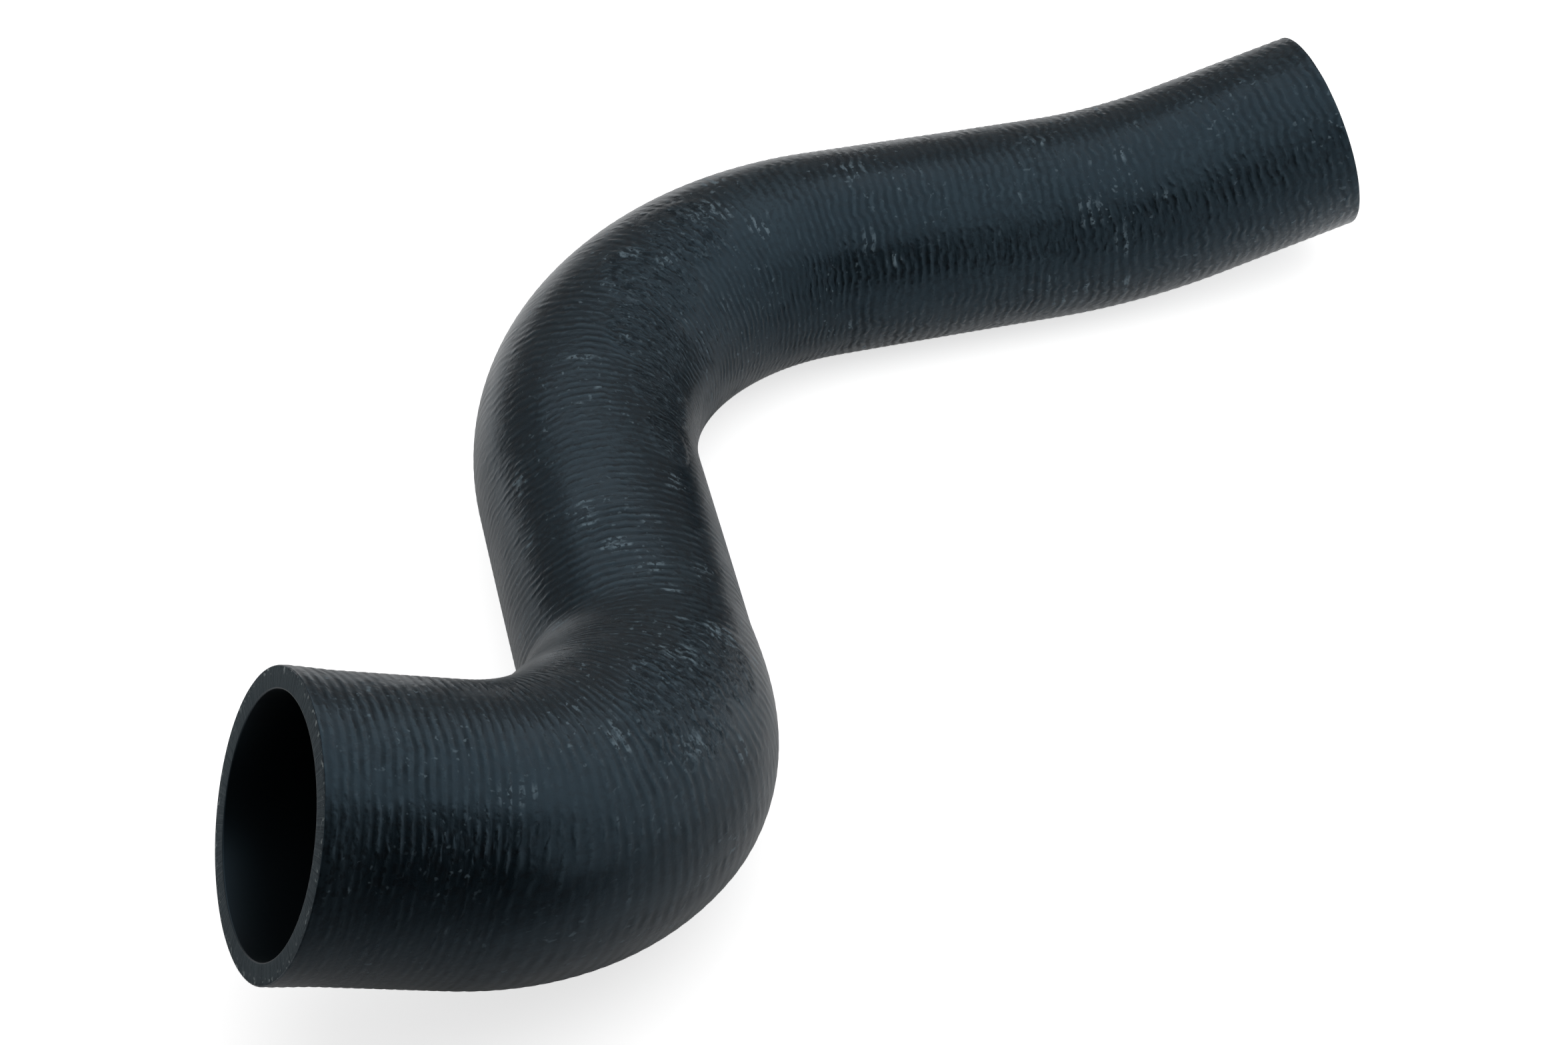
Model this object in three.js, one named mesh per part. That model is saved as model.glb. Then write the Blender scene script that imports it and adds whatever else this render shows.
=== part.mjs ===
// Charge air hose: one piece of moulded rubber with a wide mouth, a tight elbow that steps down to a
// slimmer bore, a long middle run, a second bend and a slim end, open all the way through.
// Millimetres, +Z up. The hose lies as it comes to rest, and the origin is at the middle of its base.
import * as THREE from "three";
import { mergeVertices, toCreasedNormals } from "three/addons/utils/BufferGeometryUtils.js";

// Section: outer diameters along the hose, and the wall, which is the same all the way.
const mouthOuter = 80;
const middleOuter = 66.2;
const endOuter = 62.4;
const wall = 6.2;

// The mouth opens a little at its cut face, inside and out.
const flareWidth = 0.5;
const flareLength = 16;

// The reducer lies in the second half of the elbow. The slim end keeps one diameter for its clamp.
const reducerStart = 108;
const reducerLength = 57;
const endCuff = 60;

// Route of the centreline, seen from above: straight runs measured corner to corner, and the turn at
// each corner, positive to the left.
const mouthHeadingAngle = 17.4;
const mouthRun = 109;
const elbowTurnAngle = 85.6;
const middleRun = 232;
const upperTurnAngle = -86.9;
const longRun = 186;
const endTurnAngle = 4.8;
const endRun = 68;

// Bend radii of the centreline.
const elbowRadius = 72;
const upperRadius = 94.5;
const endRadius = 229;

// The mouth and the slim end stand up from the corners next to them.
const mouthRise = 41.3;
const endRise = 13;

// Fineness of the skin: points round the hose, and the most between two rings.
const sideCount = 48;
const straightStep = 12;
const bendStepAngle = 6;
const settleCount = 6;

// One bend of the centreline: the arc that rounds the corner between two straight runs.
class BendCurve extends THREE.Curve {
  constructor(before, corner, after, radius) {
    super();
    this.into = corner.clone().sub(before).normalize();
    const out = after.clone().sub(corner).normalize();
    this.axis = this.into.clone().cross(out).normalize();
    this.angle = this.into.angleTo(out);
    this.length = radius * this.angle;
    const setback = radius * Math.tan(this.angle / 2);
    this.entry = corner.clone().addScaledVector(this.into, -setback);
    this.exit = corner.clone().addScaledVector(out, setback);
    this.centre = this.axis.clone().cross(this.into).multiplyScalar(radius).add(this.entry);
  }

  getPoint(t, target = new THREE.Vector3()) {
    target.copy(this.entry).sub(this.centre);
    return target.applyAxisAngle(this.axis, this.angle * t).add(this.centre);
  }

  getTangent(t, target = new THREE.Vector3()) {
    return target.copy(this.into).applyAxisAngle(this.axis, this.angle * t);
  }
}

// The corners of the route in plan, walked from the mouth, with the heights of the three low corners.
function cornersAt(heights) {
  const [elbowHeight, upperHeight, endHeight] = heights;
  const levels = [elbowHeight + mouthRise, elbowHeight, upperHeight, endHeight, endHeight + endRise];
  const runs = [mouthRun, middleRun, longRun, endRun];
  const turns = [mouthHeadingAngle, elbowTurnAngle, upperTurnAngle, endTurnAngle];
  const corners = [new THREE.Vector3(0, 0, levels[0])];
  let heading = 0;
  runs.forEach((run, i) => {
    heading += THREE.MathUtils.degToRad(turns[i]);
    const last = corners[i];
    const x = last.x + run * Math.cos(heading);
    const y = last.y + run * Math.sin(heading);
    corners.push(new THREE.Vector3(x, y, levels[i + 1]));
  });
  return corners;
}

// Rings are set out along a curve of the route, each with its centre, tangent and distance from the
// mouth. The curve's own first ring is left to the curve before it.
function addStations(stations, curve, length, count) {
  const start = stations.length ? stations[stations.length - 1].distance : 0;
  for (let i = 1; i <= count; i += 1) {
    const t = i / count;
    stations.push({
      centre: curve.getPoint(t),
      tangent: curve.getTangent(t),
      distance: start + length * t,
    });
  }
}

// The whole route: straight, bend, straight, bend, straight, bend, straight.
function routeThrough(corners) {
  const radii = [elbowRadius, upperRadius, endRadius];
  const bends = radii.map((r, i) => new BendCurve(corners[i], corners[i + 1], corners[i + 2], r));
  const tangent = corners[1].clone().sub(corners[0]).normalize();
  const stations = [{ centre: corners[0].clone(), tangent, distance: 0 }];
  let from = corners[0];
  for (const bend of bends) {
    addStraight(stations, from, bend.entry);
    const count = Math.ceil(THREE.MathUtils.radToDeg(bend.angle) / bendStepAngle);
    addStations(stations, bend, bend.length, count);
    from = bend.exit;
  }
  addStraight(stations, from, corners[corners.length - 1]);
  return stations;
}

function addStraight(stations, from, to) {
  const length = from.distanceTo(to);
  addStations(stations, new THREE.LineCurve3(from, to), length, Math.ceil(length / straightStep));
}

// Outer radius at a distance from the mouth: flared lip, wide cuff, reducer, slow taper, slim cuff.
function outerRadius(distance, length) {
  const reducerEnd = reducerStart + reducerLength;
  const lip = 1 - THREE.MathUtils.smoothstep(distance, 0, flareLength);
  const reduced = THREE.MathUtils.smoothstep(distance, reducerStart, reducerEnd);
  const tapered = THREE.MathUtils.smoothstep(distance, reducerEnd, length - endCuff);
  const middle = THREE.MathUtils.lerp(mouthOuter, middleOuter, reduced);
  return (middle + (endOuter - middleOuter) * tapered) / 2 + flareWidth * lip;
}

// How high a ring's lowest point is above the ground.
function underside(station, length) {
  const steepness = Math.hypot(station.tangent.x, station.tangent.y);
  return station.centre.z - outerRadius(station.distance, length) * steepness;
}

// Heights of the three low corners at which the skin lies on the ground near each of them. The
// stretch of hose that belongs to a corner is the one that is nearer to it than to the others.
function settledHeights() {
  let heights = [mouthOuter / 2, middleOuter / 2, endOuter / 2];
  for (let step = 0; step < settleCount; step += 1) {
    const corners = cornersAt(heights);
    const stations = routeThrough(corners);
    const length = stations[stations.length - 1].distance;
    const lowest = heights.map(() => Infinity);
    for (const station of stations) {
      const away = [1, 2, 3].map((i) => corners[i].distanceTo(station.centre));
      const nearest = away.indexOf(Math.min(...away));
      lowest[nearest] = Math.min(lowest[nearest], underside(station, length));
    }
    heights = heights.map((height, i) => height - lowest[i]);
  }
  return heights;
}

// The straight hose is one closed profile turned round its axis: out along the skin, across the cut
// face, back along the bore and across the other cut face. Each ring of it is then set square to
// the route, with its first direction level and its second one leaning up.
function hoseGeometry(stations) {
  const length = stations[stations.length - 1].distance;
  const skin = stations.map((s) => new THREE.Vector2(outerRadius(s.distance, length), s.distance));
  const bore = skin.map((p) => new THREE.Vector2(p.x - wall, p.y)).reverse();
  const profile = [...skin, ...bore, skin[0].clone()];
  const places = [...stations, ...[...stations].reverse(), stations[0]];
  const geometry = new THREE.LatheGeometry(profile, sideCount);
  const position = geometry.getAttribute("position");
  const frames = places.map(frameAt);
  const point = new THREE.Vector3();
  for (let i = 0; i < position.count; i += 1) {
    point.fromBufferAttribute(position, i).setY(0);
    point.applyMatrix4(frames[i % profile.length]);
    position.setXYZ(i, point.x, point.y, point.z);
  }
  geometry.deleteAttribute("normal");
  geometry.deleteAttribute("uv");
  return toCreasedNormals(mergeVertices(geometry), THREE.MathUtils.degToRad(40));
}

// Matrix that carries a ring from the straight hose's axis, Y, to its place on the route.
function frameAt(station) {
  const level = new THREE.Vector3(0, 0, 1).cross(station.tangent).normalize();
  const leaning = level.clone().cross(station.tangent);
  return new THREE.Matrix4()
    .makeBasis(level, station.tangent, leaning)
    .setPosition(station.centre);
}

const rubber = new THREE.MeshStandardMaterial({ color: 0x24272b, roughness: 0.62, metalness: 0 });
const hose = new THREE.Mesh(hoseGeometry(routeThrough(cornersAt(settledHeights()))), rubber);
hose.name = "hose";
hose.geometry.computeBoundingBox();
const box = hose.geometry.boundingBox;
const middle = box.getCenter(new THREE.Vector3());
hose.position.set(-middle.x, -middle.y, -box.min.z);

const part = new THREE.Group();
part.add(hose);

export default part;
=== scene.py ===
"""Charge air hose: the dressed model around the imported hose.

One moulded rubber hose lies on a pale floor. It has a wide mouth, a tight elbow that steps down in
diameter, a middle run, a second bend and a slim end. Its outside carries fine wavy rings all the way
along, and its cut ends and bore have finishes of their own. All sizes are metres and all angles
degrees, unless a line says otherwise.
"""

import logging
import math
from collections.abc import Sequence
from dataclasses import dataclass, field
from enum import Enum

import bpy
import numpy as np
from mathutils import Matrix, Vector


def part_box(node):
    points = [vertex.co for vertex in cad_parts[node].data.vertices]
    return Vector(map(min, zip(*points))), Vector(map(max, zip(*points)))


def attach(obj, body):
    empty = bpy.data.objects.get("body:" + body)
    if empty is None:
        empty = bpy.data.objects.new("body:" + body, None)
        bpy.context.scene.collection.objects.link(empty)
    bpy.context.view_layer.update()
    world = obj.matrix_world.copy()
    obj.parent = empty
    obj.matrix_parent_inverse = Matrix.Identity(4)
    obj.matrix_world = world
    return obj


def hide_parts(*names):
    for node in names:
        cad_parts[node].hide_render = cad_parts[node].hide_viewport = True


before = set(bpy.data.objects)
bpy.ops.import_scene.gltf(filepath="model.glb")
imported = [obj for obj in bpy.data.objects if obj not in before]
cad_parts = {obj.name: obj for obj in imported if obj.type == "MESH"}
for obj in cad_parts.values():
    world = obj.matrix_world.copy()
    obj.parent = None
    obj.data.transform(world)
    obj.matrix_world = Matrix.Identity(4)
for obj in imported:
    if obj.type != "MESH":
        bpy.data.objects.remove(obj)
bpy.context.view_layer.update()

LOG = logging.getLogger("hose")
NODE = "hose"
BODY = "root"
FRAME_WIDTH = 2352
SENSOR = 36.0

Colour = tuple[float, float, float]
Point = tuple[float, float, float]
Span = tuple[float, float]


class Zone(Enum):
    """Where a row of the hose's surface lies."""

    SKIN = 0
    CUT = 1
    BORE = 2


def smoothstep(x: np.ndarray | float, low: float, high: float) -> np.ndarray:
    """A soft step from 0 to 1: 3t^2 - 2t^3, where t is x's share of the way from low to high.

    Args:
        x: Values to step.
        low: Where the step starts.
        high: Where the step ends.

    Returns:
        The stepped values, between 0 and 1.
    """
    t = np.clip((np.asarray(x, float) - low) / (high - low), 0.0, 1.0)
    return t * t * (3.0 - 2.0 * t)


def unit(vectors: np.ndarray) -> np.ndarray:
    """Vectors divided by their lengths."""
    return vectors / np.linalg.norm(vectors, axis=-1, keepdims=True)


def linked(name: str, data: bpy.types.ID) -> bpy.types.Object:
    """Makes an object and links it to the scene.

    Args:
        name: The object's name.
        data: Its mesh, lamp or camera.

    Returns:
        The object, at the origin.
    """
    made = bpy.data.objects.new(name, data)
    bpy.context.scene.collection.objects.link(made)
    return made


@dataclass(frozen=True)
class Stretch:
    """One stretch of the centreline: a straight run, or the arc of a bend.

    Attributes:
        start: Distance from the mouth at which it starts.
        length: Length along it.
        entry: Its first point.
        into: Unit direction at its first point.
        inward: Unit direction towards the bend's centre at its first point, zero on a straight.
        radius: Bend radius, infinite on a straight.
    """

    start: float
    length: float
    entry: np.ndarray
    into: np.ndarray
    inward: np.ndarray
    radius: float

    def sample(self, distance: np.ndarray) -> tuple[np.ndarray, np.ndarray, np.ndarray]:
        """Points, directions and curvature vectors at distances that lie on this stretch.

        On an arc that has turned by q, the point is the entry plus radius times sin q along the first
        direction and radius times 1 - cos q inwards, and the direction turns by q.

        Args:
            distance: Distances from the mouth.

        Returns:
            Points, unit tangents, and vectors towards the bend's centre as long as the curvature.
        """
        along = (distance - self.start)[:, None]
        if math.isinf(self.radius):
            tangent = np.repeat(self.into[None], len(distance), axis=0)
            return self.entry + along * self.into, tangent, np.zeros_like(tangent)
        turned = along / self.radius
        sine, cosine = np.sin(turned), np.cos(turned)
        point = self.entry + self.radius * (sine * self.into + (1.0 - cosine) * self.inward)
        tangent = cosine * self.into + sine * self.inward
        inward = cosine * self.inward - sine * self.into
        return point, tangent, inward / self.radius


@dataclass
class Section:
    """Outer diameters and wall of the hose, and where along it the diameters change."""

    mouth_outer: float = 0.080
    middle_outer: float = 0.0662
    end_outer: float = 0.0624
    wall: float = 0.0062
    flare_width: float = 0.0005
    flare_length: float = 0.016
    reducer_start: float = 0.108
    reducer_length: float = 0.057
    end_cuff: float = 0.060

    def outer_radius(self, distance: np.ndarray, length: float) -> np.ndarray:
        """Outer radius: flared lip, wide cuff, soft step down, slow taper, slim cuff.

        Args:
            distance: Distances from the mouth.
            length: Length of the whole hose.

        Returns:
            The radius of the ring crests at each distance.
        """
        reducer_end = self.reducer_start + self.reducer_length
        lip = 1.0 - smoothstep(distance, 0.0, self.flare_length)
        reduced = smoothstep(distance, self.reducer_start, reducer_end)
        tapered = smoothstep(distance, reducer_end, length - self.end_cuff)
        middle = self.mouth_outer + (self.middle_outer - self.mouth_outer) * reduced
        return (middle + (self.end_outer - self.middle_outer) * tapered) / 2 + self.flare_width * lip


@dataclass
class Route:
    """Centreline of the hose: straight runs in plan, the turns between them, and arcs at the corners.

    Attributes:
        runs: Lengths of the runs in plan, from corner to corner.
        turns: Turn before each run in plan, the first one from +X.
        radii: Bend radii at the inner corners.
        mouth_rise: How far the mouth stands above the first inner corner.
        end_rise: How far the slim end stands above the last inner corner.
        settle_count: How often the corners are lowered.
        probe_step: Distance between the places at which the underside is measured.
    """

    section: Section
    runs: tuple[float, ...] = (0.109, 0.232, 0.186, 0.068)
    turns: tuple[float, ...] = (17.4, 85.6, -86.9, 4.8)
    radii: tuple[float, ...] = (0.072, 0.0945, 0.229)
    mouth_rise: float = 0.0413
    end_rise: float = 0.013
    settle_count: int = 6
    probe_step: float = 0.002
    stretches: list[Stretch] = field(default_factory=list)

    def __post_init__(self) -> None:
        """Lays the route at the heights at which the hose lies on the floor."""
        self.settle()

    @property
    def length(self) -> float:
        """Length of the centreline from cut to cut."""
        return self.stretches[-1].start + self.stretches[-1].length

    def corners(self, heights: np.ndarray) -> np.ndarray:
        """Corners of the route, walked from the mouth by run and turn.

        Args:
            heights: Heights of the three corners between the two ends.

        Returns:
            Five corners, from the middle of the mouth to the middle of the slim end.
        """
        heading = np.radians(np.cumsum(self.turns))
        steps = np.array(self.runs)[:, None] * np.column_stack([np.cos(heading), np.sin(heading)])
        plan = np.vstack([np.zeros(2), np.cumsum(steps, axis=0)])
        level = np.concatenate([[heights[0] + self.mouth_rise], heights, [heights[-1] + self.end_rise]])
        return np.column_stack([plan, level])

    def lay(self, corners: np.ndarray) -> None:
        """Joins the corners by straight runs and rounds each inner one by an arc.

        An arc of radius r that turns by q starts r tan(q / 2) before its corner.

        Args:
            corners: The route's corners.
        """
        self.stretches = []
        start, at = 0.0, corners[0]
        still = np.zeros(3)
        for before, corner, after, radius in zip(corners, corners[1:], corners[2:], self.radii):
            into, out = unit(corner - before), unit(after - corner)
            angle = math.acos(float(np.clip(into @ out, -1.0, 1.0)))
            entry = corner - into * radius * math.tan(angle / 2)
            run = float(np.linalg.norm(entry - at))
            self.stretches.append(Stretch(start, run, at, into, still, math.inf))
            start += run
            inward = unit(out - into * (into @ out))
            self.stretches.append(Stretch(start, radius * angle, entry, into, inward, radius))
            start += radius * angle
            at = corner + out * radius * math.tan(angle / 2)
        run = float(np.linalg.norm(corners[-1] - at))
        self.stretches.append(Stretch(start, run, at, unit(corners[-1] - at), still, math.inf))

    def sample(self, distance: np.ndarray) -> tuple[np.ndarray, np.ndarray, np.ndarray]:
        """Points, unit tangents and curvature vectors at distances from the mouth.

        Args:
            distance: Distances from the mouth, in any order.

        Returns:
            Three arrays with a row for each distance.
        """
        starts = np.array([stretch.start for stretch in self.stretches])
        which = np.clip(np.searchsorted(starts, distance, side="right") - 1, 0, len(starts) - 1)
        found = [np.zeros((len(distance), 3)) for _ in range(3)]
        for index, stretch in enumerate(self.stretches):
            here = which == index
            for rows, part in zip(found, stretch.sample(distance[here])):
                rows[here] = part
        return found[0], found[1], found[2]

    def settle(self) -> None:
        """Lowers each of the three middle corners until the skin near it lies on the floor."""
        section = self.section
        heights = np.array([section.mouth_outer, section.middle_outer, section.end_outer]) / 2
        for _ in range(self.settle_count):
            corners = self.corners(heights)
            self.lay(corners)
            distance = np.arange(0.0, self.length, self.probe_step)
            centre, tangent, _ = self.sample(distance)
            lean = np.hypot(tangent[:, 0], tangent[:, 1])
            underside = centre[:, 2] - self.section.outer_radius(distance, self.length) * lean
            away = np.linalg.norm(centre[:, None] - corners[None, 1:4], axis=2)
            nearest = away.argmin(axis=1)
            heights = heights - np.array([underside[nearest == k].min() for k in range(3)])
        self.lay(self.corners(heights))


@dataclass(frozen=True)
class Waves:
    """A wander made of sines: each has whole waves round the hose and its own drift along it.

    Attributes:
        seed: Seed of the random draws.
        turns_round: Fewest and most waves round the hose.
        drift: Shortest wavelength along the hose.
        height: About its greatest height.
        count: Number of sines.
    """

    seed: int
    turns_round: tuple[int, int]
    drift: float
    height: float
    count: int = 6

    def at(self, distance: np.ndarray, angle: np.ndarray) -> np.ndarray:
        """Sum of sines: each has a whole number of waves round the hose and its own drift and phase.

        Args:
            distance: Distances from the mouth.
            angle: Angles round the hose, in radians.

        Returns:
            Heights, of about the stated height at most.
        """
        rng = np.random.default_rng(self.seed)
        total = np.zeros(np.broadcast(distance, angle).shape)
        for _ in range(self.count):
            waves = rng.integers(self.turns_round[0], self.turns_round[1] + 1)
            along = rng.uniform(-1.0, 1.0) * math.tau / self.drift
            phase = rng.uniform(0.0, math.tau)
            total = total + np.sin(waves * angle + along * distance + phase)
        return total * self.height / math.sqrt(self.count)


@dataclass
class RingRelief:
    """Fine rings that the wrapping tape leaves all round the outside.

    Attributes:
        pitch: Distance between rings.
        wider_from: Distance from the mouth past which they lie wider apart.
        widening: Share by which their count slows there.
        depth: Depth of a full groove.
        sharpness: Power that narrows the crests.
        slow: Wander of the rings.
        quick: Their zigzag.
        gaps: Waves that break them into dashes.
        smooth_below: Stretch of the skin below which it is smooth.
        full_above: Stretch above which the rings are full.
        drawn_from: Stretch from which the rings break into dashes.
        drawn_to: Stretch from which they are dashes.
        dashed: Share of their strength that dashes lose where the gap waves are level.
        torn_loss: Share of their depth that they lose where the skin is torn.
        calm_until: Distance from the mouth up to which the zigzag is weakest.
        restless_from: Distance from which it is strongest.
        quick_least: Factor on the zigzag where it is weakest.
        quick_most: Factor on it where it is strongest.
    """

    pitch: float = 0.00286
    wider_from: float = 0.445
    widening: float = 0.10
    depth: float = 0.00014
    sharpness: float = 1.2
    slow: Waves = Waves(seed=3, turns_round=(1, 4), drift=0.12, height=0.0007)
    quick: Waves = Waves(seed=8, turns_round=(9, 20), drift=0.04, height=0.00036)
    gaps: Waves = Waves(seed=21, turns_round=(9, 22), drift=0.02, height=1.0)
    smooth_below: float = 0.46
    full_above: float = 0.74
    drawn_from: float = 1.05
    drawn_to: float = 1.35
    dashed: float = 0.30
    torn_loss: float = 0.7
    calm_until: float = 0.10
    restless_from: float = 0.46
    quick_least: float = 0.45
    quick_most: float = 1.15

    def turns(self, distance: np.ndarray, angle: np.ndarray) -> np.ndarray:
        """How many rings lie between the mouth and each point, counting parts of a ring.

        Args:
            distance: Distances from the mouth.
            angle: Angles round the hose, in radians.

        Returns:
            The distance, moved by the two waves, over the pitch. The quick wave grows along the hose, and
            past a distance the count grows more slowly, so the rings there are wider.
        """
        grown = smoothstep(distance, self.calm_until, self.restless_from)
        growth = self.quick_least + (self.quick_most - self.quick_least) * grown
        wider = self.widening * np.maximum(distance - self.wider_from, 0.0)
        shifted = distance - wider + self.slow.at(distance, angle) + growth * self.quick.at(distance, angle)
        return shifted / self.pitch

    def strength(self, distance: np.ndarray, angle: np.ndarray, stretched: np.ndarray) -> np.ndarray:
        """How strong the rings are: smooth on the inside of a bend, broken into dashes on its outside.

        Args:
            distance: Distances from the mouth.
            angle: Angles round the hose, in radians.
            stretched: Length of the skin over the length of the centreline beside it.

        Returns:
            0 where the skin is smooth, up to 1 where the rings are full.
        """
        bent = np.abs(stretched - 1.0) + 1.0
        drawn = smoothstep(bent, self.drawn_from, self.drawn_to)
        whole = 1.0 - drawn * self.dashed * (1.0 - np.clip(self.gaps.at(distance, angle), -1.0, 1.0))
        return smoothstep(stretched, self.smooth_below, self.full_above) * whole

    def sink(self, turns: np.ndarray, strength: np.ndarray) -> np.ndarray:
        """Depth below the crests: depth times 1 - c^sharpness, where c is half plus half cos of the turns.

        Args:
            turns: Ring count at each point.
            strength: Strength of the rings there.

        Returns:
            Depths.
        """
        crest = 0.5 + 0.5 * np.cos(math.tau * turns)
        return self.depth * strength * (1.0 - crest**self.sharpness)


@dataclass(frozen=True)
class Patch:
    """A worn place on the skin.

    Attributes:
        distance: Distance of its middle from the mouth.
        angle: Angle of its middle round the hose, in degrees, 90 on top.
        wide: Half its width round the hose.
        long: Half its length along the hose.
        strength: How worn its middle is, up to 1.
    """

    distance: float
    angle: float
    wide: float
    long: float
    strength: float

    def level(self, distance: np.ndarray, angle: np.ndarray, radius: np.ndarray) -> np.ndarray:
        """Wear at each point: strength times 1 - r^2, r being the share of the patch's reach.

        Args:
            distance: Distances from the mouth.
            angle: Angles round the hose, in radians.
            radius: Radii there.

        Returns:
            Levels from 0 to the strength.
        """
        apart = np.angle(np.exp(1j * (angle - math.radians(self.angle)))) * radius
        reach = (apart / self.wide) ** 2 + ((distance - self.distance) / self.long) ** 2
        return self.strength * np.clip(1.0 - reach, 0.0, 1.0)


@dataclass
class Wear:
    """Worn places: rubbed ones, set and scattered, and the torn bands of the two bends.

    Attributes:
        torn_full: Level of a band from which the skin is fully torn.
        half_width: Least and most half width of a scattered place.
        shape: Least and most length of one, as a share of its width.
        strengths: Strength of the faintest and the strongest.
        places: Distances from the mouth at which their shares are set.
        shares: How densely they lie there.
        steps: Steps in which the shares are summed along the hose.
    """

    rubbed: tuple[Patch, ...] = (
        Patch(0.050, 120, 0.0050, 0.0075, 0.55),
        Patch(0.080, 110, 0.0065, 0.0045, 0.80),
        Patch(0.120, 105, 0.0075, 0.0035, 0.85),
        Patch(0.140, 125, 0.0065, 0.0055, 0.80),
        Patch(0.155, 105, 0.0035, 0.0040, 0.60),
        Patch(0.165, 100, 0.0040, 0.0035, 0.65),
        Patch(0.175, 85, 0.0055, 0.0036, 1.00),
        Patch(0.190, 75, 0.0040, 0.0080, 0.85),
        Patch(0.215, 45, 0.0035, 0.0060, 0.85),
        Patch(0.255, 90, 0.0055, 0.0020, 0.95),
        Patch(0.305, 85, 0.0045, 0.0045, 0.60),
        Patch(0.335, 90, 0.0065, 0.0085, 0.60),
        Patch(0.385, 90, 0.0065, 0.0065, 0.46),
        Patch(0.385, 135, 0.0065, 0.0035, 0.46),
        Patch(0.455, 140, 0.0065, 0.0065, 0.54),
        Patch(0.465, 160, 0.0075, 0.0045, 0.48),
        Patch(0.465, 190, 0.0055, 0.0035, 0.45),
        Patch(0.480, 140, 0.0035, 0.0035, 0.45),
    )
    torn: tuple[Patch, ...] = (
        Patch(0.105, 115, 0.022, 0.024, 1.0),
        Patch(0.130, 125, 0.018, 0.018, 0.9),
        Patch(0.225, 130, 0.010, 0.016, 0.8),
        Patch(0.250, 135, 0.015, 0.020, 1.0),
        Patch(0.275, 120, 0.018, 0.020, 1.0),
        Patch(0.300, 105, 0.020, 0.020, 1.0),
        Patch(0.325, 95, 0.018, 0.018, 0.9),
        Patch(0.115, 250, 0.020, 0.022, 0.9),
        Patch(0.290, 270, 0.020, 0.026, 0.9),
    )
    torn_full: float = 0.7
    seed: int = 12
    count: int = 220
    half_width: Span = (0.0016, 0.0050)
    shape: Span = (0.5, 1.3)
    strengths: Span = (0.25, 0.70)
    places: tuple[float, ...] = (0.0, 0.05, 0.10, 0.13, 0.32, 0.40, 0.50, 0.54)
    shares: tuple[float, ...] = (0.15, 0.35, 0.80, 1.00, 1.00, 0.80, 0.60, 0.15)
    steps: int = 400

    def scattered(self) -> list[Patch]:
        """Rubbed places drawn at random, each place along the hose from the summed shares.

        A strength is the faintest one plus the square of a draw times the way to the strongest.

        Returns:
            The places.
        """
        rng = np.random.default_rng(self.seed)
        fine = np.linspace(self.places[0], self.places[-1], self.steps)
        summed = np.cumsum(np.interp(fine, self.places, self.shares))
        distance = np.interp(rng.random(self.count) * summed[-1], summed, fine)
        angle = rng.uniform(0.0, 360.0, self.count)
        wide = rng.uniform(*self.half_width, self.count)
        long = wide * rng.uniform(*self.shape, self.count)
        faintest, strongest = self.strengths
        strength = faintest + (strongest - faintest) * rng.random(self.count) ** 2.0
        return [Patch(*map(float, row)) for row in zip(distance, angle, wide, long, strength)]

    def cover(self, patches: Sequence[Patch], *where: np.ndarray) -> np.ndarray:
        """The strongest of some patches at each point.

        Args:
            patches: The patches.
            where: Distances, angles and radii of the points.

        Returns:
            Levels from 0 to 1.
        """
        return np.maximum.reduce([patch.level(*where) for patch in patches])


@dataclass
class Profile:
    """The closed section of the straight hose, one entry for each row of its surface.

    Attributes:
        distance: Distance from the mouth.
        depth: Depth in the wall, 0 at the skin and 1 at the bore.
        ribbed: 1 where the rings shape the row and 0 where they don't.
        zone: Zone of the band between this row and the next.
    """

    distance: np.ndarray
    depth: np.ndarray
    ribbed: np.ndarray
    zone: np.ndarray


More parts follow.
